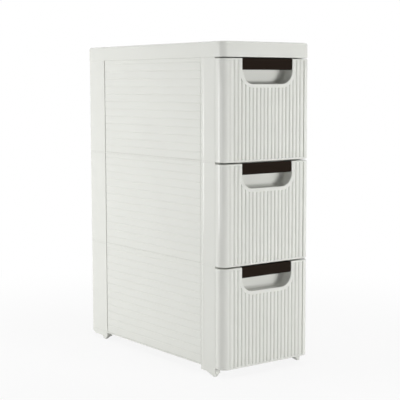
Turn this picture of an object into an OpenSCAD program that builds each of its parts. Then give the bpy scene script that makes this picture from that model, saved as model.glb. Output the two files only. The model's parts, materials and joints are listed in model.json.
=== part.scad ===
// Slim tower of three plastic drawers.
// Posts stack through flat decks, grooved side and back panels slide into the posts,
// and a hollow lid closes the top. Each drawer is a tub with a ribbed front and a grip bar.
// Millimetres, +Z up, drawer fronts face -Y, origin under the middle of the base.

/* [Overall] */
// Width of the tower, over the lid and the drawer fronts
tower_w = 200; // [184:1:230]
// Depth of the tower, from the drawer fronts to the back
tower_d = 442; // [400:1:480]
// Height of one tier, from deck to deck
tier_h = 181.5; // [165:0.5:210]
// Radius of the tower's upright front corners
corner_r = 13.5; // [11:0.5:16]
// Radius of the tower's upright rear corners
rear_r = 10; // [8:0.5:12]
// Step from the lid's outline in to the posts and the decks
inset = 0.6; // [0.3:0.1:1]
// Clearance between pieces that plug or slide together
fit = 0.2; // [0.1:0.05:0.3]

/* [Lid] */
// Height of the lid
lid_h = 27; // [20:0.5:32]
// Thickness of the lid's top and walls
lid_wall = 2.2; // [2:0.1:3]
// Radius of the lid's upper edge
lid_edge_r = 5; // [3:0.5:7]
// Height of the stiffening ribs under the lid's top
lid_rib_h = 3; // [2:0.5:5]
// Thickness of the stiffening ribs under the lid's top
lid_rib_t = 2; // [1.5:0.1:2.5]

/* [Decks] */
// Thickness of the base plate and of the two decks
deck_t = 2.5; // [2:0.1:4]
// Height of the runners that a drawer slides on
runner_h = 2; // [1.5:0.1:3]
// Width of the runners that a drawer slides on
runner_w = 6; // [4:0.5:8]
// Distance of a runner's middle from the tub's side
runner_side = 17; // [12:1:24]
// Distance that the runners stop short of the deck's ends
runner_end = 12; // [6:1:20]

/* [Base and feet] */
// Height of the base's corner blocks below the base plate
block_h = 8; // [6:0.5:12]
// Length of the slope under the rear end of a rear block
block_slope_l = 14; // [8:1:20]
// Ledge that the base plate leaves behind that slope
block_ledge = 1.5; // [1:0.5:3]
// Height of a foot below its block
foot_h = 6; // [5:0.5:10]
// Length of a foot's sole
foot_l = 5; // [4:0.5:8]
// Width of a foot's sole
foot_w = 5; // [4:0.5:6]
// Spread of a foot's inner side from its sole up to its block
foot_flare = 5; // [1:0.5:6]
// Length of a front foot's slope, which rises to the rear
front_foot_slope = 19; // [9:1:24]
// Length of a front foot's steep front side
front_foot_nose = 1; // [0.5:0.5:3]
// Length of each of a rear foot's two slopes
rear_foot_slope = 5.5; // [4:0.5:8]
// Distance from the front of a rear block to its foot
rear_foot_back = 2; // [0.5:0.5:4]
// Radius of the stem that plugs a foot into its block
foot_stem_r = 3; // [2.5:0.1:3.5]
// Length of the stem that plugs a foot into its block
foot_stem_h = 5; // [4:0.5:6]
// Distance from a foot's front to the middle of its stem
foot_stem_y = 7; // [5:0.5:8]

/* [Posts] */
// Thickness of a post across the tower
post_t = 11.4; // [10.6:0.1:14]
// Depth of a front post
front_post_d = 41; // [34:1:48]
// Depth of a rear post
rear_post_d = 61.4; // [52:0.1:70]
// Wall thickness of a post
post_wall = 1.8; // [1.6:0.1:2.4]
// Height of the spigot that joins a post to the next piece up
spigot_h = 9; // [6:0.5:12]
// Radius of the rounded bead down a front post
bead_r = 8; // [6:0.5:10]
// Distance of the bead's middle from the post's rear edge
bead_back = 7; // [5:0.5:9]

/* [Panels] */
// Thickness of the sheet of a side or back panel
sheet_t = 2; // [1.8:0.1:2.6]
// Depth of a panel's edge inside a post
tongue = 4; // [3:0.5:5]
// Step from a post's face in to the planks of a panel
plank_step = 0.6; // [0.4:0.1:1]
// Height that the planks stand out of the sheet
plank_t = 0.5; // [0.3:0.1:1.2]
// Distance from plank to plank
plank_pitch = 14.3; // [11:0.1:16]
// Width of the groove between two planks
plank_groove = 0.7; // [0.4:0.1:1.6]
// Space between a plank's end and the post
plank_end = 1.5; // [1:0.1:3]
// Step from the rear posts' face in to the back panel's planks
back_step = 2.6; // [1:0.1:4]

/* [Drawer fronts] */
// Depth of a drawer front, from its face to its open back
front_t = 21.5; // [18:0.5:26]
// Space between a drawer front and the posts behind it
post_gap = 1.5; // [1:0.1:2.5]
// Gap between two drawer fronts
front_gap = 2.2; // [1.6:0.1:4]
// Part of the gap that lies above the deck's underside
front_lift = 0.6; // [0.4:0.1:1.5]
// Wall thickness of a drawer front
front_wall = 2.2; // [2:0.1:3]
// Radius of a drawer front's upper and lower edge
front_edge_r = 2; // [1:0.1:3]
// Depth of the grooves between the ribs
rib_h = 1.5; // [1:0.1:2]
// Step from a front's face in to the crests of its ribs
rib_step = 0.2; // [0.1:0.05:0.4]
// Distance from rib to rib
rib_pitch = 8.33; // [7:0.01:10]
// Width of the flat floor between two ribs
rib_floor = 1.2; // [0.8:0.1:2]
// Plain margin from a front's side to the first rib
rib_side = 14.5; // [14:0.5:20]
// Plain margin above and below the ribs
rib_end = 3; // [2.5:0.5:6]
// Radius of the pegs that hold a front on its tub
peg_r = 3; // [2.5:0.1:3.5]
// Wall of the bosses that carry the pegs
peg_boss_wall = 2; // [1.5:0.1:3]
// Length of a peg beyond the tub's wall
peg_out = 1.3; // [0.8:0.1:2]
// Distance of the pegs from the tub's side
peg_side = 15; // [11:1:22]
// Distance of the lower and the upper pegs from the tub's floor and rim
peg_end = 24; // [16:1:34]

/* [Handles] */
// Width of the handle's opening
handle_w = 114; // [95:1:125]
// Depth of the handle's opening from the front's upper edge
handle_h = 44.5; // [44:0.5:50]
// Radius of the handle's lower corners
handle_r = 24; // [10:1:24]
// Width of the smooth border around the handle
handle_rim = 6.5; // [4:0.5:9]
// Depth of the finger pocket behind the front's face
pocket_d = 26; // [25:0.5:34]
// Radius where the pocket's floor and sides turn up into its back
pocket_r = 7; // [6:0.5:14]
// Height of the grip bar
grip_h = 20; // [16:0.5:23]
// Thickness of the grip bar
grip_t = 9; // [7:0.5:11]
// Step from the front's face in to the grip bar
grip_step = 0.8; // [0.4:0.1:1.5]
// Radius of the grip bar's lower edges
grip_r = 3; // [2:0.5:3.5]
// Height of the tabs at the grip bar's ends
grip_tab_h = 10; // [7:0.5:12]
// Thickness of the tabs at the grip bar's ends
grip_tab_t = 4; // [3:0.5:5]

/* [Drawer tubs] */
// Wall thickness of a tub
tub_wall = 1.8; // [1.6:0.1:3]
// Width of the flange around a tub's rim
rim_w = 2; // [1.5:0.1:2.5]
// Height of the flange around a tub's rim
rim_h = 4; // [3:0.5:6]
// Clearance between a tub's rim and the posts on each side
tub_side_gap = 1; // [0.6:0.1:2]
// Space between a tub's rim and the deck above
tub_top_gap = 7.5; // [5:0.5:12]
// Space between a tub and the back panel
tub_rear_gap = 8; // [5:0.5:14]
// Running clearance of a tub above its runners
tub_lift = 0.3; // [0.3:0.05:0.5]
// Radius of a tub's rear edges, upright and lower
tub_r = 10; // [6:1:14]
// Radius of a tub's lower side edges
tub_side_r = 5; // [4:0.5:8]
// Length of the ear that stops a tub behind the front post
ear_l = 8; // [6:0.5:12]
// Height of the ear that stops a tub behind the front post
ear_h = 20; // [12:1:30]
// Reach of the ear out of the tub's side
ear_out = 7; // [5.5:0.5:8]
// Space between the ear and the rear post when the drawer is shut
ear_gap = 5; // [3:0.5:8]

/* [Hidden] */
$fn = 64;

shell_white = "#E3E4DE";
tub_white = "#E9EAE5";
grip_brown = "#2C231E";

// overlap that joins two shapes of one piece
join = 0.5;

half_w = tower_w / 2;
face_y = -tower_d / 2;
rear_y = tower_d / 2;

// outer and inner face of the posts, and their ends along the depth
post_out = half_w - inset;
post_in = post_out - post_t;
front_post_y = face_y + front_t + post_gap;
front_post_end = front_post_y + front_post_d;
rear_post_end = rear_y - inset;
rear_post_y = rear_post_end - rear_post_d;
slot_wall = tongue + fit + post_wall;

// sheets of the side and back panels
side_sheet_out = post_out - plank_step - plank_t;
side_sheet_in = side_sheet_out - sheet_t;
back_sheet_out = rear_post_end - back_step - plank_t;
back_sheet_in = back_sheet_out - sheet_t;

post_h = tier_h - deck_t;
plug_h = spigot_h - deck_t;
base_z = foot_h + block_h;

// drawer front and handle, measured in a tier
front_h = tier_h - front_gap;
front_back_y = face_y + front_t;
field_w = tower_w - 2 * rib_side;
rib_chord = rib_pitch - rib_floor;
rib_count = floor((field_w - rib_floor) / rib_pitch);
end_rib_chord = (field_w - (rib_count - 2) * rib_pitch) / 2 - rib_floor;
pocket_back_y = face_y + pocket_d;
front_skin = rib_h + front_wall;

// tub, measured in a tier
tub_half = post_in - tub_side_gap - rim_w;
tub_z = deck_t + runner_h + tub_lift;
tub_h = tier_h - tub_top_gap - tub_z;
tub_end_y = back_sheet_in - tub_rear_gap;
ear_end_y = rear_post_y - ear_gap;
ear_top = tub_h - rim_h;
runner_x = tub_half - runner_side;
peg_x = tub_half - peg_side;
peg_low = tub_z + peg_end;
peg_high = tub_z + tub_h - peg_end;

// a tier is "bottom", "middle" or "top", and a side is "left" or "right"
sides = ["left", "right"];

function tier_z(tier) = base_z + (tier == "top" ? 2 : tier == "middle" ? 1 : 0) * tier_h;

module at_tier(tier) translate([0, 0, tier_z(tier)]) children();

// left is drawn as it is, right is its mirror image
module on_side(side) mirror([side == "right" ? 1 : 0, 0, 0]) children();

// rectangle between two corners with its own radius at each end of the depth
module round_rect(x0, y0, x1, y1, r_front, r_rear) {
    translate([x0, y0 + r_front]) square([x1 - x0, y1 - y0 - r_front - r_rear]);
    translate([x0 + r_front, y0]) square([x1 - x0 - 2 * r_front, r_front + join]);
    translate([x0 + r_rear, y1 - r_rear - join]) square([x1 - x0 - 2 * r_rear, r_rear + join]);
    for (x = [x0 + r_front, x1 - r_front]) translate([x, y0 + r_front]) circle(r_front);
    for (x = [x0 + r_rear, x1 - r_rear]) translate([x, y1 - r_rear]) circle(r_rear);
}

// block whose section is drawn in X and Z and runs from y0 to y1
module along_y(y0, y1) translate([0, y1, 0]) rotate([90, 0, 0]) linear_extrude(y1 - y0) children();

// block whose section is drawn in Y and Z and runs from x0 to x1
module along_x(x0, x1) translate([x0, 0, 0]) rotate([90, 0, 90]) linear_extrude(x1 - x0) children();

// outline of the whole tower seen from above, stepped in all round
module tower_outline(step) {
    round_rect(-half_w + step, face_y + step, half_w - step, rear_y - step,
        corner_r - step, rear_r - step);
}

// outlines of the left posts seen from above
module front_post_outline() {
    translate([-post_out, front_post_y]) square([post_t, front_post_d]);
}

module rear_post_outline() {
    intersection() {
        translate([-post_out, rear_post_y]) square([post_t, rear_post_d]);
        tower_outline(inset);
    }
}

// hollow of each left post, which takes the spigot from below
module front_hollow(gap) {
    translate([-post_out + post_wall + gap, front_post_y + post_wall + gap])
        square([post_t - 2 * post_wall - 2 * gap, front_post_d - post_wall - slot_wall - 2 * gap]);
}

module rear_hollow(gap) {
    hollow_end = back_sheet_in - fit - post_wall;
    translate([-post_out + post_wall + gap, rear_post_y + slot_wall + gap])
        square([post_t - 2 * post_wall - 2 * gap, hollow_end - rear_post_y - slot_wall - 2 * gap]);
}

module all_hollows(gap) {
    for (side = sides) on_side(side) {
        front_hollow(gap);
        rear_hollow(gap);
    }
}

// groove down a post for the side panel's tongue
module side_groove() {
    translate([-side_sheet_out - fit, -tongue - fit])
        square([sheet_t + 2 * fit, 2 * tongue + 2 * fit]);
}

// groove down a rear post for the back panel's tongue
module back_groove() {
    translate([-post_in - tongue - fit, back_sheet_in - fit])
        square([2 * tongue, sheet_t + 2 * fit]);
}

module post_bead() {
    intersection() {
        translate([-half_w + bead_r, front_post_end - bead_back]) circle(bead_r);
        translate([-half_w, front_post_y]) square([post_t, front_post_d]);
    }
}

module front_post(side, tier) {
    color(shell_white) at_tier(tier) on_side(side) {
        difference() {
            translate([0, 0, deck_t]) linear_extrude(post_h) difference() {
                union() {
                    front_post_outline();
                    post_bead();
                }
                translate([0, front_post_end]) side_groove();
            }
            translate([0, 0, deck_t - join])
                linear_extrude(post_h - post_wall + join) front_hollow(0);
        }
        translate([0, 0, tier_h - join]) linear_extrude(spigot_h + join) front_hollow(fit);
    }
}

module rear_post(side, tier) {
    color(shell_white) at_tier(tier) on_side(side) {
        difference() {
            translate([0, 0, deck_t]) linear_extrude(post_h) difference() {
                rear_post_outline();
                translate([0, rear_post_y]) side_groove();
                back_groove();
            }
            translate([0, 0, deck_t - join])
                linear_extrude(post_h - post_wall + join) rear_hollow(0);
        }
        translate([0, 0, tier_h - join]) linear_extrude(spigot_h + join) rear_hollow(fit);
    }
}

// sheet between two posts with horizontal planks on its outer face, drawn lying along X
// with the planks towards -Y; plank_from and plank_to are where the planks end
module planked_sheet(x0, x1, plank_from, plank_to) {
    plank_count = floor((post_h - plank_groove) / plank_pitch);
    translate([x0, 0, deck_t]) cube([x1 - x0, sheet_t, post_h]);
    for (i = [0 : plank_count]) {
        low = deck_t + i * plank_pitch + plank_groove / 2;
        high = i < plank_count ? low + plank_pitch - plank_groove : deck_t + post_h;
        along_x(plank_from, plank_to) polygon([
            [join, low], [0, low], [-plank_t, low + plank_groove],
            [-plank_t, high - plank_groove], [0, high], [join, high]
        ]);
    }
}

module side_panel(side, tier) {
    color(shell_white) at_tier(tier) on_side(side)
        translate([-side_sheet_out, 0, 0]) rotate([0, 0, -90])
            planked_sheet(-rear_post_y - tongue, -front_post_end + tongue,
                -rear_post_y + plank_end, -front_post_end - plank_end);
}

module back_panel(tier) {
    color(shell_white) at_tier(tier)
        translate([0, back_sheet_out, 0]) rotate([0, 0, 180])
            planked_sheet(-post_in - tongue, post_in + tongue,
                -post_in + plank_end, post_in - plank_end);
}

// plate that a tier stands on, without its holes
module deck_plate() {
    linear_extrude(deck_t) intersection() {
        tower_outline(inset);
        translate([-half_w, front_post_y]) square([tower_w, tower_d]);
    }
    for (x = [-runner_x, runner_x])
        translate([x - runner_w / 2, front_post_y + runner_end, deck_t - join])
            cube([runner_w, rear_post_end - front_post_y - 2 * runner_end, runner_h + join]);
}

module deck(tier) {
    color(shell_white) at_tier(tier) difference() {
        deck_plate();
        translate([0, 0, -join]) linear_extrude(deck_t + 2 * join) all_hollows(0);
    }
}

// front end of a foot
function foot_y(front) = front ? front_post_y : rear_post_y + rear_foot_back;

// stem of a left foot, or with a gap its socket
module foot_stem(front, gap) {
    translate([-post_out + post_t / 2, foot_y(front) + foot_stem_y, foot_h - join])
        cylinder(h = foot_stem_h + gap + join, r = foot_stem_r + gap);
}

module base_frame() {
    rise = block_h / block_slope_l;
    slope_end = rear_post_end - block_ledge;
    color(shell_white) {
        difference() {
            for (side = sides) on_side(side) {
                translate([0, 0, foot_h]) linear_extrude(block_h + join) front_post_outline();
                difference() {
                    translate([0, 0, foot_h]) linear_extrude(block_h + join) rear_post_outline();
                    along_x(-half_w - join, -post_in + join) polygon([
                        [slope_end - block_slope_l - join / rise, foot_h - join],
                        [rear_post_end + join, base_z + (block_ledge + join) * rise],
                        [rear_post_end + join, foot_h - join]
                    ]);
                }
            }
            for (side = sides, front = [true, false]) on_side(side) foot_stem(front, fit);
        }
        at_tier("bottom") deck_plate();
        at_tier("bottom") translate([0, 0, deck_t - join]) linear_extrude(plug_h + join) all_hollows(fit);
    }
}

// wedge under the front end of a corner block, flush with the block's outer face
module foot(side, front) {
    y0 = foot_y(front);
    sole_y = y0 + (front ? front_foot_nose : rear_foot_slope);
    y1 = sole_y + foot_l + (front ? front_foot_slope : rear_foot_slope);
    color(shell_white) on_side(side) {
        intersection() {
            along_y(y0, y1) polygon([
                [-post_out, 0], [-post_out + foot_w, 0],
                [-post_out + foot_w + foot_flare, foot_h], [-post_out, foot_h]
            ]);
            along_x(-post_out, -post_in) polygon([
                [sole_y, 0], [sole_y + foot_l, 0], [y1, foot_h], [y0, foot_h]
            ]);
        }
        foot_stem(front, 0);
    }
}

// section with rounded upper corners
module arched(half, height, r) {
    translate([-half, 0]) square([2 * half, height - r]);
    translate([-half + r, 0]) square([2 * half - 2 * r, height]);
    for (x = [-half + r, half - r]) translate([x, height - r]) circle(r);
}

module lid_outside() {
    intersection() {
        linear_extrude(lid_h) tower_outline(0);
        along_y(face_y, rear_y) arched(half_w, lid_h, lid_edge_r);
        along_x(-half_w, half_w) arched(rear_y, lid_h, lid_edge_r);
    }
}

module lid() {
    inside_h = lid_h - lid_wall;
    color(shell_white) translate([0, 0, tier_z("top") + tier_h]) {
        difference() {
            lid_outside();
            translate([0, 0, -join]) linear_extrude(inside_h + join) tower_outline(lid_wall);
        }
        // bosses over the posts, each with a socket for the spigot
        difference() {
            linear_extrude(inside_h + join) for (side = sides) on_side(side) {
                front_post_outline();
                rear_post_outline();
            }
            translate([0, 0, -join]) linear_extrude(spigot_h + fit + join) all_hollows(0);
        }
        for (y = [front_post_end, 0, rear_post_y])
            translate([-half_w + lid_wall / 2, y - lid_rib_t / 2, inside_h - lid_rib_h])
                cube([tower_w - lid_wall, lid_rib_t, lid_rib_h + join]);
    }
}

// opening with rounded lower corners in X and Z, its floor at height low
module handle_outline(half, low, r, top) {
    translate([-half, low + r]) square([2 * half, top - low - r]);
    translate([-half + r, low]) square([2 * half - 2 * r, r + join]);
    for (x = [-half + r, half - r]) translate([x, low + r]) circle(r);
}

// basin that is open to the front and the top: its lower side edges have radius side_r,
// and the edges around its back have radius back_r
module basin(half, front_y, back_y, low, top, side_r, back_r) {
    intersection() {
        along_y(front_y, back_y) handle_outline(half, low, side_r, top);
        linear_extrude(top) round_rect(-half, front_y - back_r, half, back_y, join, back_r);
        along_x(-half, half) {
            translate([front_y, low]) square([back_y - back_r - front_y, top - low]);
            translate([front_y, low + back_r]) square([back_y - front_y, top - low - back_r]);
            translate([back_y - back_r, low + back_r]) circle(back_r);
        }
    }
}

// pocket behind the handle, grown by skin all round
module pocket(skin, front_y, top) {
    basin(handle_w / 2 + skin, front_y, pocket_back_y + skin, front_h - handle_h - skin, top,
        handle_r + skin, pocket_r + skin);
}

// area of the ribs in X and Z: a rectangle without the handle and its border
module rib_field() {
    difference() {
        translate([-field_w / 2, rib_end]) square([field_w, front_h - 2 * rib_end]);
        handle_outline(handle_w / 2 + handle_rim, front_h - handle_h - handle_rim,
            handle_r + handle_rim, front_h + join);
    }
}

// upright rib whose round crest rises from a chord on the floor of the field
module rib(chord) {
    rise = rib_h - rib_step;
    r = (pow(chord / 2, 2) + pow(rise, 2)) / (2 * rise);
    translate([0, face_y + rib_step + r, 0]) cylinder(h = front_h, r = r);
}

module rib_rows() {
    first = -(rib_count - 1) / 2;
    for (i = [1 : rib_count - 2]) translate([(first + i) * rib_pitch, 0, 0]) rib(rib_chord);
    // the outermost ribs fill what is left of the field
    for (side = sides) on_side(side)
        translate([(-field_w + rib_floor + end_rib_chord) / 2, 0, 0]) rib(end_rib_chord);
}

module front_shell() {
    difference() {
        intersection() {
            linear_extrude(front_h)
                round_rect(-half_w, face_y, half_w, front_back_y, corner_r, join);
            along_x(-half_w, half_w) {
                translate([face_y, front_edge_r]) square([front_t, front_h - 2 * front_edge_r]);
                translate([face_y + front_edge_r, 0]) square([front_t - front_edge_r, front_h]);
                for (z = [front_edge_r, front_h - front_edge_r])
                    translate([face_y + front_edge_r, z]) circle(front_edge_r);
            }
        }
        translate([0, 0, front_wall]) linear_extrude(front_h - 2 * front_wall)
            round_rect(-half_w + front_wall, face_y + front_skin, half_w - front_wall,
                front_back_y + corner_r, corner_r - front_wall, join);
        along_y(face_y - join, face_y + rib_h) rib_field();
    }
    intersection() {
        rib_rows();
        along_y(face_y - join, face_y + rib_h + join) rib_field();
    }
}

module drawer_front(tier) {
    color(shell_white) at_tier(tier) translate([0, 0, front_lift]) {
        difference() {
            union() {
                front_shell();
                pocket(front_wall, face_y + front_skin, front_h);
                for (x = [-peg_x, peg_x], z = [peg_low, peg_high])
                    translate([x, front_back_y, z - front_lift]) rotate([90, 0, 0])
                        cylinder(h = front_t - rib_h - join, r = peg_r + peg_boss_wall);
            }
            pocket(0, face_y - join, front_h + join);
            for (side = sides) on_side(side)
                translate([-handle_w / 2 - front_wall - join, 0, 0]) tab_block(fit);
        }
        for (x = [-peg_x, peg_x], z = [peg_low, peg_high])
            translate([x, front_back_y + tub_wall + peg_out, z - front_lift]) rotate([90, 0, 0])
                cylinder(h = tub_wall + peg_out + join, r = peg_r);
    }
}

// tab at a grip bar's end, grown by gap for its slot
module tab_block(gap) {
    tab_y = face_y + grip_step + (grip_t - grip_tab_t) / 2;
    tab_z = front_h - grip_h / 2 - grip_tab_h / 2;
    translate([0, tab_y - gap, tab_z - gap])
        cube([front_wall + 2 * join, grip_tab_t + 2 * gap, grip_tab_h + 2 * gap]);
}

module grip_bar(tier) {
    half = handle_w / 2 - fit;
    y0 = face_y + grip_step;
    low = front_h - grip_h;
    color(grip_brown) at_tier(tier) translate([0, 0, front_lift]) {
        along_x(-half, half) {
            translate([y0, low + grip_r]) square([grip_t, grip_h - grip_r]);
            translate([y0 + grip_r, low]) square([grip_t - 2 * grip_r, grip_r + join]);
            for (y = [y0 + grip_r, y0 + grip_t - grip_r]) translate([y, low + grip_r]) circle(grip_r);
        }
        for (side = sides) on_side(side)
            translate([-handle_w / 2 - front_wall + fit, 0, 0]) intersection() {
                tab_block(0);
                translate([0, face_y, 0]) cube([front_wall + fit, front_t, front_h]);
            }
    }
}

module tub_body() {
    difference() {
        union() {
            basin(tub_half, front_back_y, tub_end_y, 0, tub_h, tub_side_r, tub_r);
            translate([0, 0, tub_h - rim_h]) linear_extrude(rim_h)
                round_rect(-tub_half - rim_w, front_back_y, tub_half + rim_w, tub_end_y + rim_w,
                    join, tub_r + rim_w);
            for (side = sides) on_side(side)
                translate([-tub_half - ear_out, ear_end_y - ear_l, ear_top - ear_h])
                    cube([ear_out + join, ear_l, ear_h]);
        }
        basin(tub_half - tub_wall, front_back_y + tub_wall, tub_end_y - tub_wall, tub_wall,
            tub_h + join, tub_side_r - tub_wall, tub_r - tub_wall);
    }
}

module drawer_tub(tier) {
    pocket_gap = front_wall + 2 * fit;
    color(tub_white) at_tier(tier) difference() {
        translate([0, 0, tub_z]) tub_body();
        along_y(front_back_y - join, front_back_y + tub_wall + join)
            handle_outline(handle_w / 2 + pocket_gap, front_lift + front_h - handle_h - pocket_gap,
                handle_r + pocket_gap, tier_h);
        for (x = [-peg_x, peg_x], z = [peg_low, peg_high])
            translate([x, front_back_y + tub_wall + join, z]) rotate([90, 0, 0])
                cylinder(h = tub_wall + 2 * join, r = peg_r + fit);
    }
}

lid();
base_frame();
deck("middle");  // deck_lower
deck("top");  // deck_upper
foot("left", true);  // foot_front_left
foot("right", true);  // foot_front_right
foot("left", false);  // foot_rear_left
foot("right", false);  // foot_rear_right
front_post("left", "bottom");  // front_post_left_bottom
front_post("left", "middle");  // front_post_left_middle
front_post("left", "top");  // front_post_left_top
front_post("right", "bottom");  // front_post_right_bottom
front_post("right", "middle");  // front_post_right_middle
front_post("right", "top");  // front_post_right_top
rear_post("left", "bottom");  // rear_post_left_bottom
rear_post("left", "middle");  // rear_post_left_middle
rear_post("left", "top");  // rear_post_left_top
rear_post("right", "bottom");  // rear_post_right_bottom
rear_post("right", "middle");  // rear_post_right_middle
rear_post("right", "top");  // rear_post_right_top
side_panel("left", "bottom");  // side_panel_left_bottom
side_panel("left", "middle");  // side_panel_left_middle
side_panel("left", "top");  // side_panel_left_top
side_panel("right", "bottom");  // side_panel_right_bottom
side_panel("right", "middle");  // side_panel_right_middle
side_panel("right", "top");  // side_panel_right_top
back_panel("bottom");  // back_panel_bottom
back_panel("middle");  // back_panel_middle
back_panel("top");  // back_panel_top
drawer_tub("bottom");  // drawer_tub_bottom
drawer_tub("middle");  // drawer_tub_middle
drawer_tub("top");  // drawer_tub_top
drawer_front("bottom");  // drawer_front_bottom
drawer_front("middle");  // drawer_front_middle
drawer_front("top");  // drawer_front_top
grip_bar("bottom");  // grip_bar_bottom
grip_bar("middle");  // grip_bar_middle
grip_bar("top");  // grip_bar_top
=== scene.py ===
"""A slim tower of three plastic drawers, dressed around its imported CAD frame.

The sections follow the tower as it goes together: the mouldings of its shell and tubs, the lid,
the drawer fronts and their grip bars, and last the floor, the lights and the camera.
"""
import json
import math

import bmesh
import bpy
from mathutils import Matrix, Vector


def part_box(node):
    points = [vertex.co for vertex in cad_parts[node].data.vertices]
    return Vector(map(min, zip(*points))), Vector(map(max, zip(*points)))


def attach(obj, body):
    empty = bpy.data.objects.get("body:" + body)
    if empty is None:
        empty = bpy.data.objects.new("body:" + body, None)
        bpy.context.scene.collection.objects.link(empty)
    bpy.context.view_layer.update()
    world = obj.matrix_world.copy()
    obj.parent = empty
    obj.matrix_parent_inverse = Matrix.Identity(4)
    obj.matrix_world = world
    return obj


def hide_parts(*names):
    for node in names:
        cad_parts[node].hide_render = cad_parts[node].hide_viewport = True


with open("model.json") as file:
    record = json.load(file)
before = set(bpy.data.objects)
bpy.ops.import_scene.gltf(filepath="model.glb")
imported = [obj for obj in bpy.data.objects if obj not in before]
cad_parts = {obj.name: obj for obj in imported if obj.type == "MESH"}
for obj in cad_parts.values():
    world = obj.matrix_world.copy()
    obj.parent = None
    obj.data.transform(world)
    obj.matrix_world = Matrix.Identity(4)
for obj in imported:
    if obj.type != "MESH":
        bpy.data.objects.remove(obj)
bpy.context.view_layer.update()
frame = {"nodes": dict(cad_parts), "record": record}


# Plastics ------------------------------------------------------------------------------------
# Off-white polypropylene and dark brown ABS, injection moulded in tools with a fine spark-eroded
# surface. That gives a satin sheen with a barely visible grain and slight sink marks.

MM = 0.001


def linear(code):
    """Turns an sRGB hex colour into linear RGBA."""
    values = [int(code[i:i + 2], 16) / 255 for i in (1, 3, 5)]
    return tuple(v / 12.92 if v <= 0.04045 else ((v + 0.055) / 1.055) ** 2.4
                 for v in values) + (1.0,)


def add_node(tree, kind, settings, links=()):
    """Adds a node, sets its properties or sockets, and links its sockets to other outputs."""
    node = tree.nodes.new(kind)
    for name, value in settings.items():
        if isinstance(name, str) and hasattr(node, name):
            setattr(node, name, value)
        else:
            node.inputs[name].default_value = value
    for socket, output in dict(links).items():
        tree.links.new(output, node.inputs[socket])
    return node


def moulded_plastic(name, light, shade, roughness, specular, grain):
    """Makes a moulded plastic: two near colours, uneven gloss, and a grain of a depth in metres."""
    material = bpy.data.materials.new(name)
    material.use_nodes = True
    tree = material.node_tree
    shader = tree.nodes["Principled BSDF"]
    shader.inputs["IOR"].default_value = 1.49
    shader.inputs["Specular IOR Level"].default_value = specular
    place = add_node(tree, "ShaderNodeTexCoord", {}).outputs["Object"]
    flow = add_node(tree, "ShaderNodeTexNoise", {"Scale": 1 / (90 * MM), "Detail": 2.0},
                    {"Vector": place})
    colour = add_node(tree, "ShaderNodeMix",
                      {"data_type": "RGBA", 6: linear(light), 7: linear(shade)},
                      {0: flow.outputs["Fac"]})
    tree.links.new(colour.outputs[2], shader.inputs["Base Color"])
    handled = add_node(tree, "ShaderNodeTexNoise", {"Scale": 1 / (35 * MM), "Detail": 4.0},
                       {"Vector": place})
    gloss = add_node(tree, "ShaderNodeMapRange", {"To Min": roughness[0], "To Max": roughness[1]},
                     {"Value": handled.outputs["Fac"]})
    tree.links.new(gloss.outputs["Result"], shader.inputs["Roughness"])
    sink = add_node(tree, "ShaderNodeTexNoise", {"Scale": 1 / (60 * MM), "Detail": 1.0},
                    {"Vector": place})
    broad = add_node(tree, "ShaderNodeBump", {"Strength": 1.0, "Distance": 0.12 * MM},
                     {"Height": sink.outputs["Fac"]})
    sparks = add_node(tree, "ShaderNodeTexNoise", {"Scale": 1 / (0.8 * MM), "Detail": 2.0},
                      {"Vector": place})
    fine = add_node(tree, "ShaderNodeBump", {"Strength": 1.0, "Distance": grain},
                    {"Height": sparks.outputs["Fac"], "Normal": broad.outputs["Normal"]})
    tree.links.new(fine.outputs["Normal"], shader.inputs["Normal"])
    return material


shell_plastic = moulded_plastic("satin_polypropylene", "#E6E7E1", "#E2E3DD",
                                (0.13, 0.18), 0.6, 0.012 * MM)
front_plastic = moulded_plastic("gloss_polypropylene", "#E7E8E2", "#E3E4DE",
                                (0.10, 0.15), 0.6, 0.006 * MM)
tub_plastic = moulded_plastic("tub_polypropylene", "#EAEBE7", "#E6E7E2",
                              (0.32, 0.42), 0.5, 0.008 * MM)
grip_plastic = moulded_plastic("brown_abs", "#211811", "#1D150F",
                               (0.42, 0.50), 0.06, 0.015 * MM)


# Posts, panels, decks, base, feet and tubs ---------------------------------------------------
# Polypropylene mouldings that plug together. A mould leaves no knife edge, so each piece takes
# the shape of its CAD solid with all its sharp edges rounded.

body_of = {node: body for body, nodes in frame["record"]["behaviour"]["bodies"].items()
           for node in nodes}
smooth_below = math.radians(50)


def add_piece(node, shape, material):
    """Turns a bmesh into the shown piece of a CAD node, on its body and with its material."""
    mesh = bpy.data.meshes.new("moulded_" + node)
    shape.to_mesh(mesh)
    shape.free()
    mesh.materials.append(material)
    mesh.shade_smooth()
    mesh.set_sharp_from_angle(angle=smooth_below)
    piece = bpy.data.objects.new(mesh.name, mesh)
    bpy.context.scene.collection.objects.link(piece)
    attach(piece, body_of[node])
    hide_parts(node)
    return piece


def even_shading(piece):
    """Keeps flat faces flat beside rounded edges."""
    piece.modifiers.new("even_shading", "WEIGHTED_NORMAL").keep_sharp = True


def softened(node, radius):
    """Copies a CAD node's shape and rounds its sharp edges."""
    shape = bmesh.new()
    shape.from_mesh(frame["nodes"][node].data)
    bmesh.ops.remove_doubles(shape, verts=shape.verts, dist=MM / 1000)
    bmesh.ops.dissolve_limit(shape, angle_limit=math.radians(1), verts=shape.verts,
                             edges=shape.edges)
    sharp = [edge for edge in shape.edges
             if edge.is_manifold and edge.calc_face_angle() > math.radians(30)]
    bmesh.ops.bevel(shape, geom=sharp, offset=radius, segments=2, profile=0.5, affect="EDGES",
                    clamp_overlap=True, material=-1)
    return shape


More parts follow.
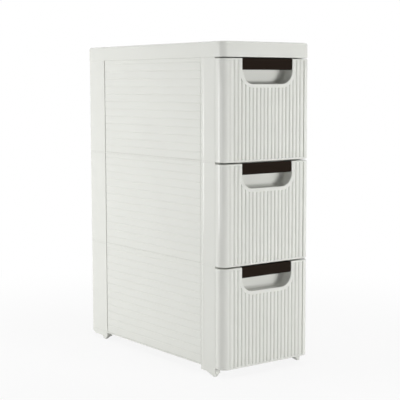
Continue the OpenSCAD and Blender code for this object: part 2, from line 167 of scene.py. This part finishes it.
plank_edge_r = 0.15 * MM
mould_edge_r = 0.3 * MM
for node in body_of:
    if node.startswith(("lid", "drawer_front", "grip_bar")):
        continue
    radius = plank_edge_r if "panel" in node else mould_edge_r
    plastic = tub_plastic if node.startswith("drawer_tub") else shell_plastic
    even_shading(add_piece(node, softened(node, radius), plastic))


# Lid -----------------------------------------------------------------------------------------
# One hollow polypropylene cap with a rolled upper edge, stiffened by ribs under its top. It drops
# over the spigots of the four top posts, which plug into its bosses.

def loft(shape, rings):
    """Joins rings of as many points each into a skin and closes its two ends."""
    rows = [[shape.verts.new(point) for point in ring] for ring in rings]
    for row, after in zip(rows, rows[1:]):
        for i in range(len(row)):
            shape.faces.new((row[i - 1], row[i], after[i], after[i - 1]))
    shape.faces.new(rows[0])
    shape.faces.new(rows[-1])
    bmesh.ops.recalc_face_normals(shape, faces=shape.faces)


def block(shape, low, high):
    """Adds a plain block between two corners, for a rib or a tab that is moulded on."""
    size = Vector(high) - Vector(low)
    place = Matrix.Translation((Vector(high) + Vector(low)) / 2) @ Matrix.Diagonal((*size, 1))
    bmesh.ops.create_cube(shape, size=1, matrix=place)


lid_low, lid_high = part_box("lid")
lid_wall = 2.2 * MM
lid_edge_r = 5 * MM
lip_r = 0.4 * MM
front_corner_r = 13.5 * MM
rear_corner_r = 10 * MM


def lid_ring(inset, z):
    """Outline of the lid seen from above, stepped in all round."""
    points = []
    corners = ((lid_high.x, lid_high.y, rear_corner_r, 0),
               (lid_low.x, lid_high.y, rear_corner_r, 90),
               (lid_low.x, lid_low.y, front_corner_r, 180),
               (lid_high.x, lid_low.y, front_corner_r, 270))
    for x, y, radius, start in corners:
        middle_x = x - math.copysign(radius, x)
        middle_y = y - math.copysign(radius, y)
        for step in range(11):
            turn = math.radians(start + 9 * step)
            reach = radius - inset
            points.append((middle_x + reach * math.cos(turn), middle_y + reach * math.sin(turn), z))
    return points


ceiling = lid_high.z - lid_wall
fillet_r = 2 * MM
profile = [(lid_wall + fillet_r, ceiling), (lid_wall + 0.3 * fillet_r, ceiling - 0.3 * fillet_r),
           (lid_wall, ceiling - fillet_r), (lid_wall, lid_low.z + lip_r),
           (lid_wall - lip_r, lid_low.z), (lip_r, lid_low.z), (0, lid_low.z + lip_r)]
for step in range(9):
    turn = math.radians(11.25 * step)
    profile.append((lid_edge_r * (1 - math.cos(turn)),
                    lid_high.z - lid_edge_r * (1 - math.sin(turn))))
lid = bmesh.new()
loft(lid, [lid_ring(inset, z) for inset, z in profile])

stiffener_h = 3 * MM
stiffener_t = 2 * MM
for place in (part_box("front_post_left_top")[1].y, 0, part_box("rear_post_left_top")[0].y):
    block(lid, (lid_low.x + lid_wall / 2, place - stiffener_t / 2, ceiling - stiffener_h),
          (lid_high.x - lid_wall / 2, place + stiffener_t / 2, ceiling + lid_wall / 2))

boss_wall = 1.8 * MM
socket_h = 9.2 * MM
boss_x = lid_high.x - lid_wall / 2
for side in (-1, 1):
    for post, rear_trim in (("front_post_right_top", 0), ("rear_post_right_top", rear_corner_r)):
        low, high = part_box(post)
        rings = []
        for wall, z in ((0, ceiling + lid_wall / 2), (0, lid_low.z + lip_r),
                        (boss_wall, lid_low.z + lip_r), (boss_wall, lid_low.z + socket_h)):
            x0, x1 = side * (low.x + wall), side * (boss_x - wall)
            y0, y1 = low.y + wall, high.y - rear_trim - wall
            rings.append([(x0, y0, z), (x1, y0, z), (x1, y1, z), (x0, y1, z)])
        loft(lid, rings)
even_shading(add_piece("lid", lid, shell_plastic))


# Drawer fronts -------------------------------------------------------------------------------
# Each is one shell of polypropylene. Upright ribs cover its face up to the smooth border of a
# U-shaped hand opening, whose rounded rim leads into a finger pocket. It snaps on its tub.

tiers = ("bottom", "middle", "top")
front_low, front_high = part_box("drawer_front_bottom")
face_y = front_low.y
front_half = front_high.x / MM
front_h = (front_high.z - front_low.z) / MM
front_t = 21.5
corner_r = 13.5
edge_r = 2
skin_t = 2.2

field_half = 85.5
field_end = 3
field_step = 0.3
rib_pitch = 8.33
rib_chord = 7.13
last_chord = 9.33
last_rib = 80.235
groove_d = 2.2
crest_d = 0.2

opening_half = 57
opening_h = 44.5
opening_r = 24
border = 6.5
rim_r = 1.2
opening_turn = opening_half - opening_r
opening_z = front_h - opening_h + opening_r
pocket_d = 26
pocket_r = 7


def rib_middles():
    """Middle and chord of each rib on the right half of a front."""
    inner = [((i + 0.5) * rib_pitch, rib_chord) for i in range(9)]
    return inner + [(last_rib, last_chord)]


def rib_depth(x):
    """Depth of the ribbed face behind the front's own face."""
    for middle, chord in rib_middles():
        off = abs(abs(x) - middle)
        if off < chord / 2:
            return groove_d - (groove_d - crest_d) * (1 - (2 * off / chord) ** 2) ** 0.55
    return groove_d


def opening_gap(x, z):
    """Distance of a point outside the opening's outline."""
    side = abs(x) - opening_turn
    if z > opening_z:
        return abs(x) - opening_half
    return math.hypot(max(side, 0), opening_z - z) - opening_r


def opening_height(x, radius):
    """Height of the opening's lower edge, offset to a radius. Beside it the line rises gently."""
    side = abs(x) - opening_turn
    if side < radius:
        return opening_z - math.sqrt(radius ** 2 - max(side, 0) ** 2)
    return opening_z + 0.3 * (side - radius)


def face_columns():
    """Widths at which the ribbed face has a column of vertices, on its right half."""
    marks = [opening_half + rim_r, opening_half + border, opening_half + border + field_step,
             field_half - field_step, field_half]
    for radius in (opening_r + rim_r, opening_r + border, opening_r + border + field_step):
        marks += [opening_turn + radius * math.sin(math.radians(turn))
                  for turn in (0, 15, 30, 45, 57, 68, 77, 84)]
    edges = marks[:5]
    ribs = [middle + side * chord * share for middle, chord in rib_middles() for side in (-1, 1)
            for share in (0.06, 0.2, 0.32, 0.41, 0.46, 0.485, 0.5)]
    kept = []
    for x in sorted(marks):
        if not kept or x - kept[-1] > 0.1 or x in edges:
            kept.append(x)
    return sorted(kept + [x for x in ribs if min(abs(x - mark) for mark in kept) > 0.15])


def outline_columns():
    """Columns from the left rear edge round the face to the right one: a place seen from above
    as width and depth, and the direction from it into the plastic."""
    turns = [math.radians(9 * step) for step in range(11)]
    left = [((-front_half, front_t), (1, 0))]
    left += [((-front_half + corner_r * (1 - math.cos(turn)), corner_r * (1 - math.sin(turn))),
              (math.cos(turn), math.sin(turn))) for turn in turns]
    left += [((-x, 0), (0, 1)) for x in reversed(face_columns())]
    right = [((-x, depth), (-across, inward)) for (x, depth), (across, inward) in reversed(left)]
    return left + right


def front_skin():
    """Builds a front's outer skin, in millimetres: width, depth behind the face, and height."""
    skin = bmesh.new()
    columns = outline_columns()
    quarter = [math.radians(turn) for turn in (0, 22.5, 45, 67.5, 90)]
    lower = [(edge_r * (1 - math.cos(turn)), edge_r * (1 - math.sin(turn))) for turn in quarter]
    lower += [(field_end, 0), (field_end + field_step, 0)]
    curved = (opening_r + border + field_step, opening_r + border, opening_r + rim_r)

    def vertex(column, z, inset):
        (x, depth), (across, inward) = column
        room = min(opening_gap(x, z) - border, field_half - abs(x),
                   z - field_end, front_h - field_end - z)
        sunk = rib_depth(x) * min(max(room / field_step, 0), 1)
        return skin.verts.new((x + across * inset, depth + inward * (inset + sunk), z))

    grid = [[vertex(column, z, inset) for column in columns] for z, inset in lower]
    grid += [[vertex(column, opening_height(column[0][0], radius), 0) for column in columns]
             for radius in curved]
    grid += [[vertex(column, front_h - z, inset) for column in columns]
             for z, inset in reversed(lower)]
    cut = opening_half + rim_r + 0.001
    inside = [i for i, column in enumerate(columns) if abs(column[0][0]) < cut]
    first, last = inside[0], inside[-1]
    bottom_of_cut = len(lower) + len(curved) - 1
    for j, (row, above) in enumerate(zip(grid, grid[1:])):
        for i in range(len(columns) - 1):
            if j < bottom_of_cut or not first <= i < last:
                skin.faces.new((row[i], row[i + 1], above[i + 1], above[i]))

    # The opening's edge goes down on the left, along its lower edge and up on the right. Rings of
    # vertices carry it over the rim, straight in, and round into the back of the pocket.
    path = [row[first] for row in reversed(grid[bottom_of_cut + 1:])]
    path += grid[bottom_of_cut][first:last + 1]
    path += [row[last] for row in grid[bottom_of_cut + 1:]]
    straight = pocket_d - pocket_r
    at_plates = math.asin((front_t - straight) / pocket_r)
    turns = [0, math.radians(14), at_plates] + [math.radians(turn) for turn in (42, 56, 70, 80, 90)]
    steps = [(rim_r * math.sin(turn), rim_r * (1 - math.cos(turn))) for turn in quarter[1:]]
    steps += [(rim_r + pocket_r * (1 - math.cos(turn)), straight + pocket_r * math.sin(turn))
              for turn in turns]
    rings_to_plates = len(quarter) + turns.index(at_plates) + 1

    def moved(vert, inward, depth):
        x, start, z = vert.co
        if abs(x) <= opening_turn:
            across, up = 0, 1
        elif z >= opening_z:
            across, up = -math.copysign(1, x), 0
        else:
            towards = Vector((math.copysign(opening_turn, x) - x, opening_z - z)).normalized()
            across, up = towards
        sunk = start + depth * (1 - start / pocket_d)
        return skin.verts.new((x + across * inward, sunk, z + up * inward))

    rings = [path] + [[moved(vert, inward, depth) for vert in path] for inward, depth in steps]
    for ring, behind in zip(rings, rings[1:]):
        for i in range(len(path) - 1):
            skin.faces.new((ring[i], ring[i + 1], behind[i + 1], behind[i]))
    skin.faces.new(rings[-1])

    # Plates close the front at its top, left and right of the opening, and at its bottom.
    plated = rings[:rings_to_plates]
    skin.faces.new(grid[-1][:first] + [ring[0] for ring in plated])
    skin.faces.new([ring[-1] for ring in reversed(plated)] + grid[-1][last + 1:])
    skin.faces.new(grid[0])
    skin.normal_update()
    bmesh.ops.recalc_face_normals(skin, faces=skin.faces)
    return skin


for tier in tiers:
    node = "drawer_front_" + tier
    skin = front_skin()
    place = Matrix.Translation((0, face_y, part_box(node)[0].z)) @ Matrix.Scale(MM, 4)
    bmesh.ops.transform(skin, matrix=place, verts=skin.verts)
    front = add_piece(node, skin, front_plastic)
    wall = front.modifiers.new("wall", "SOLIDIFY")
    wall.thickness = skin_t * MM
    wall.offset = -1
    wall.use_even_offset = True
    even_shading(front)


# Grip bars -----------------------------------------------------------------------------------
# A dark brown ABS bar spans each hand opening, with rounded corners and a full lower edge for the
# fingers. A tab at each end snaps into the wall of the pocket.

bar_low_r = 3
bar_top_r = 1
bar_end_r = 3
bar_play = 0.2
tab_y = (2.5, 6.5)
tab_z = (5, 15)
tab_root = 1


def bar_section(y0, y1, z0, z1):
    """Section of a bar across the tower, with rounded corners."""
    corners = ((y1 - bar_low_r, z0 + bar_low_r, bar_low_r, 270),
               (y1 - bar_top_r, z1 - bar_top_r, bar_top_r, 0),
               (y0 + bar_top_r, z1 - bar_top_r, bar_top_r, 90),
               (y0 + bar_low_r, z0 + bar_low_r, bar_low_r, 180))
    points = []
    for y, z, radius, start in corners:
        for step in range(7):
            turn = math.radians(start + 15 * step)
            points.append((y + radius * math.cos(turn), z + radius * math.sin(turn)))
    return points


for tier in tiers:
    node = "grip_bar_" + tier
    low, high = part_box(node)
    y0, y1, z0, z1 = low.y / MM, high.y / MM, low.z / MM, high.z / MM
    half = opening_half - bar_play
    rings = []
    for into in (0, 0.15, 0.5, 1, 2, bar_end_r):
        drop = bar_end_r - math.sqrt(bar_end_r ** 2 - (bar_end_r - into) ** 2)
        trim = 0.5 * drop / bar_end_r
        section = bar_section(y0 + trim, y1 - trim, z0 + trim, z1 - drop)
        rings.append((half - into, section))
    rings = [(-x, section) for x, section in rings] + rings[::-1]
    bar = bmesh.new()
    loft(bar, [[(x * MM, y * MM, z * MM) for y, z in section] for x, section in rings])
    for side in (-1, 1):
        inner, outer = sorted((side * (half - tab_root) * MM, side * high.x))
        block(bar, (inner, (y0 + tab_y[0]) * MM, (z0 + tab_z[0]) * MM),
              (outer, (y0 + tab_y[1]) * MM, (z0 + tab_z[1]) * MM))
    even_shading(add_piece(node, bar, grip_plastic))


# Floor ---------------------------------------------------------------------------------------
# A plain white studio floor. What the camera and reflections see of it fades into the white
# background; close to the tower it keeps the tower's soft shadow.

bpy.ops.mesh.primitive_plane_add(size=40)
floor = bpy.context.object
floor.name = "studio_floor"
paper = bpy.data.materials.new("white_paper")
paper.use_nodes = True
tree = paper.node_tree
tree.nodes.clear()
matt = add_node(tree, "ShaderNodeBsdfDiffuse", {"Color": linear("#EEEEEE")})
glow = add_node(tree, "ShaderNodeEmission", {"Strength": 1.0})


def seen_directly(tree):
    """Adds nodes that give 1 to camera, glossy and transmission rays and 0 to the others."""
    rays = add_node(tree, "ShaderNodeLightPath", {}).outputs
    seen = add_node(tree, "ShaderNodeMath", {"operation": "ADD"},
                    {0: rays["Is Camera Ray"], 1: rays["Is Glossy Ray"]})
    seen = add_node(tree, "ShaderNodeMath", {"operation": "ADD", "use_clamp": True},
                    {0: seen.outputs[0], 1: rays["Is Transmission Ray"]})
    return seen.outputs[0]


spot = add_node(tree, "ShaderNodeTexCoord", {}).outputs["Object"]
reach = add_node(tree, "ShaderNodeVectorMath", {"operation": "LENGTH"}, {0: spot})
fade = add_node(tree, "ShaderNodeMapRange",
                {"interpolation_type": "SMOOTHSTEP", "From Min": 0.3, "From Max": 1.0,
                 "To Min": 0.88, "To Max": 1.0},
                {"Value": reach.outputs["Value"]})
share = add_node(tree, "ShaderNodeMath", {"operation": "MULTIPLY"},
                 {0: seen_directly(tree), 1: fade.outputs["Result"]})
mixed = add_node(tree, "ShaderNodeMixShader", {},
                 {0: share.outputs[0], 1: matt.outputs[0], 2: glow.outputs[0]})
add_node(tree, "ShaderNodeOutputMaterial", {}, {"Surface": mixed.outputs[0]})
floor.data.materials.append(paper)


# Light ---------------------------------------------------------------------------------------
# White surroundings for what sees them directly, and a little ambient light for the rest. Soft
# boxes light the fronts, the sides, the back and the top. Only the last two are mirrored in the
# plastic: they draw the highlights down the rounded corner of the fronts and the post's bead.

world = bpy.data.worlds.new("studio")
bpy.context.scene.world = world
world.use_nodes = True
tree = world.node_tree
tree.nodes.clear()
level = add_node(tree, "ShaderNodeMapRange", {"To Min": 0.15, "To Max": 1.0},
                 {"Value": seen_directly(tree)})
sky = add_node(tree, "ShaderNodeBackground", {"Color": linear("#FFFFFF")},
               {"Strength": level.outputs["Result"]})
add_node(tree, "ShaderNodeOutputWorld", {}, {"Surface": sky.outputs[0]})


tower_middle = Vector((0, 0, 0.3))


def soft_box(name, turn, distance, height, size, power, mirrored):
    """Adds a lamp that faces the tower, turned from the front towards its left side."""
    lamp = bpy.data.lights.new(name, "AREA")
    lamp.shape = "RECTANGLE"
    lamp.size, lamp.size_y = size
    lamp.energy = power
    box = bpy.data.objects.new(name, lamp)
    turn = math.radians(turn)
    box.location = (-distance * math.sin(turn), -distance * math.cos(turn), height)
    box.rotation_euler = (box.location - tower_middle).to_track_quat("Z", "Y").to_euler()
    box.visible_glossy = mirrored
    bpy.context.scene.collection.objects.link(box)


soft_box("front", -22, 2.3, 0.3, (0.8, 0.5), 25, False)
soft_box("behind_left", 135, 2.2, 0.5, (1.0, 1.0), 18, False)
soft_box("behind_right", -130, 2.3, 0.8, (1.0, 1.0), 13.5, False)
soft_box("above", 0, 0.2, 2.7, (1.2, 1.2), 24, False)
soft_box("left_front", 72, 2.0, 0.25, (0.5, 0.6), 3.4, True)
soft_box("left_side", 114, 2.0, 0.25, (0.9, 0.6), 10, True)


# Camera --------------------------------------------------------------------------------------
# A long lens to the front left, level with the top drawer.

photo_size = 400
focal_px = 1092.4
yaw = math.radians(36.713)
pitch = math.radians(6.046)
roll = math.radians(-0.145)

lens = bpy.data.cameras.new("photo_camera")
lens.lens = focal_px / photo_size * lens.sensor_width
lens.clip_end = 100
camera = bpy.data.objects.new("photo_camera", lens)
camera.matrix_world = (Matrix.Translation((-1.2424, -1.6875, 0.5121))
                       @ Matrix.Rotation(-yaw, 4, "Z")
                       @ Matrix.Rotation(math.pi / 2 - pitch, 4, "X")
                       @ Matrix.Rotation(roll, 4, "Z"))
bpy.context.scene.collection.objects.link(camera)
bpy.context.scene.camera = camera
bpy.context.scene.view_settings.view_transform = "Standard"
